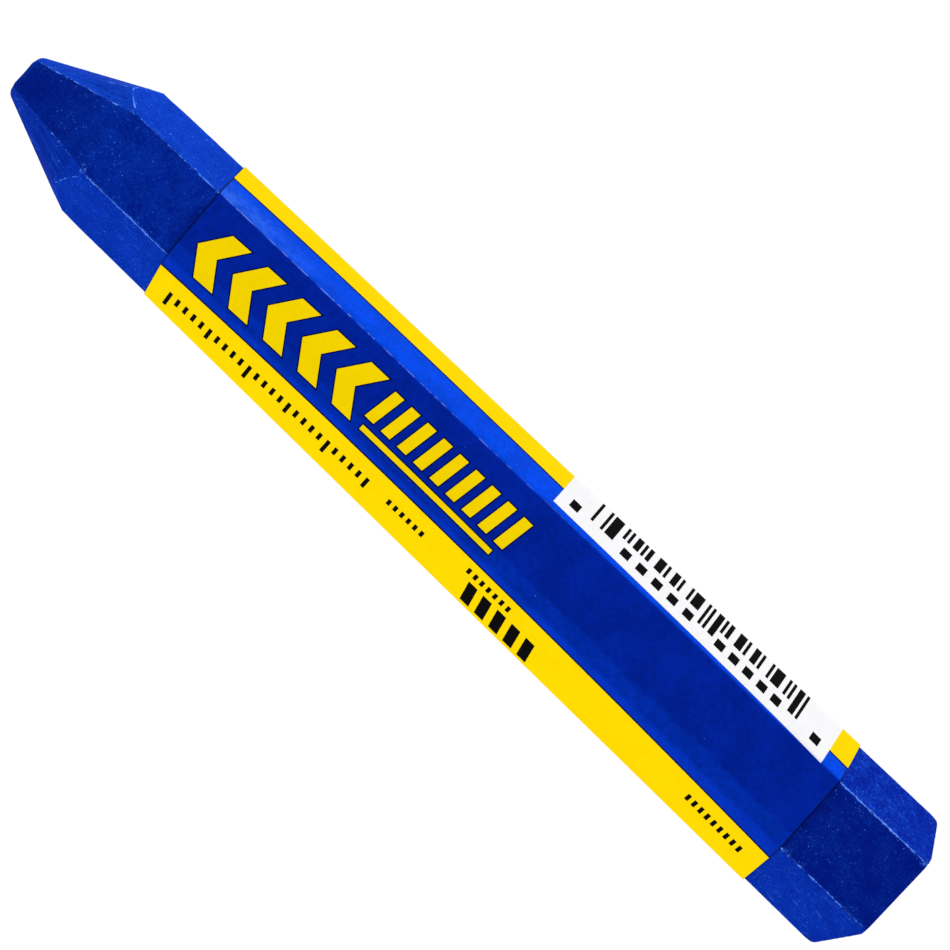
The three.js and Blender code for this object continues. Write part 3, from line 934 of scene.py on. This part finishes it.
for node_name in ("pickup_glue_strip", "lap_glue_strip"):
    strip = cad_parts[node_name]
    strip.data.materials.clear()
    strip.data.materials.append(glue)

# The table that the crayon lies on: plain white, with only a faint shadow under the crayon.
table_reach = 3.0
bm = bmesh.new()
bmesh.ops.create_grid(bm, x_segments=8, y_segments=8, size=table_reach)
table_top = new_piece("table", bm)


def seen_directly(tree):
    """1 for rays that see the surface itself, in a mirror or through glass."""
    path = add_node(tree, "LightPath").outputs
    mirrored = plus(tree, path["Is Glossy Ray"], path["Is Transmission Ray"])
    return plus(tree, path["Is Camera Ray"], mirrored)


table_look = bpy.data.materials.new("table")
table_look.use_nodes = True
tree = table_look.node_tree
tree.nodes.clear()
paper = add_node(tree, "BsdfDiffuse", {"Color": (0.55, 0.55, 0.56, 1)})
faint = add_node(tree, "BsdfDiffuse", {"Color": (0.14, 0.14, 0.14, 1)})
white = add_node(tree, "Emission", {"Color": (1, 1, 1, 1), "Strength": 0.93})
bright = add_node(tree, "AddShader", {0: faint.outputs[0], 1: white.outputs[0]})
chosen = add_node(tree, "MixShader", {0: seen_directly(tree),
                                      1: paper.outputs[0], 2: bright.outputs[0]})
add_node(tree, "OutputMaterial", {"Surface": chosen.outputs[0]})
table_top.data.materials.append(table_look)

# The studio: soft light from both long sides, low, so that the sides of the crayon are
# brighter than its top, and a plain pale surrounding.
world = bpy.data.worlds.new("studio")
bpy.context.scene.world = world
world.use_nodes = True
tree = world.node_tree
tree.nodes.clear()
ambient = add_node(tree, "Background", {"Color": (1, 1, 1, 1), "Strength": 0.56})
backdrop = add_node(tree, "Background", {"Color": (1, 1, 1, 1), "Strength": 1.0})
chosen = add_node(tree, "MixShader", {0: seen_directly(tree),
                                      1: ambient.outputs[0], 2: backdrop.outputs[0]})
add_node(tree, "OutputWorld", {"Surface": chosen.outputs[0]})

lamp_elevation = 13
lamp_distance = 0.6
lamp_width, lamp_height = 0.7, 0.16


def soft_box(name, azimuth, watts):
    """A long low lamp that faces the crayon. Azimuth 0 is towards -Y."""
    lamp = bpy.data.lights.new(name, "AREA")
    lamp.shape = "RECTANGLE"
    lamp.size, lamp.size_y = lamp_width, lamp_height
    lamp.energy = watts
    holder = bpy.data.objects.new(name, lamp)
    a, e = math.radians(azimuth), math.radians(lamp_elevation)
    towards = Vector((math.sin(a) * math.cos(e), -math.cos(a) * math.cos(e), math.sin(e)))
    holder.location = towards * lamp_distance
    holder.rotation_euler = towards.to_track_quat("Z", "Y").to_euler()
    bpy.context.scene.collection.objects.link(holder)


soft_box("lamp_stripe_side", azimuth=0, watts=4.35)
soft_box("lamp_scale_side", azimuth=180, watts=3.2)

# The camera looks nearly straight down from above the crayon, from well back.
camera_target = Vector((-0.81, -1.29, 13.6)) * mm
camera_distance = 433.8 * mm
camera_lean = math.radians(3.3)
crayon_slant = math.radians(43.81)
across_axis = Vector((0, math.cos(camera_lean), -math.sin(camera_lean)))
back_axis = Vector((0, math.sin(camera_lean), math.cos(camera_lean)))
along_axis = Vector((1, 0, 0))
right_axis = -math.cos(crayon_slant) * along_axis - math.sin(crayon_slant) * across_axis
up_axis = math.sin(crayon_slant) * along_axis - math.cos(crayon_slant) * across_axis
camera_data = bpy.data.cameras.new("camera")
camera_data.lens = 174.0
camera_data.sensor_width = 36.0
camera_data.clip_start = 0.01
camera_data.clip_end = 20
camera = bpy.data.objects.new("camera", camera_data)
bpy.context.scene.collection.objects.link(camera)
turn = Matrix((right_axis, up_axis, back_axis)).transposed().to_4x4()
camera.matrix_world = Matrix.Translation(camera_target + back_axis * camera_distance) @ turn
bpy.context.scene.camera = camera

bpy.context.scene.view_settings.view_transform = "Standard"
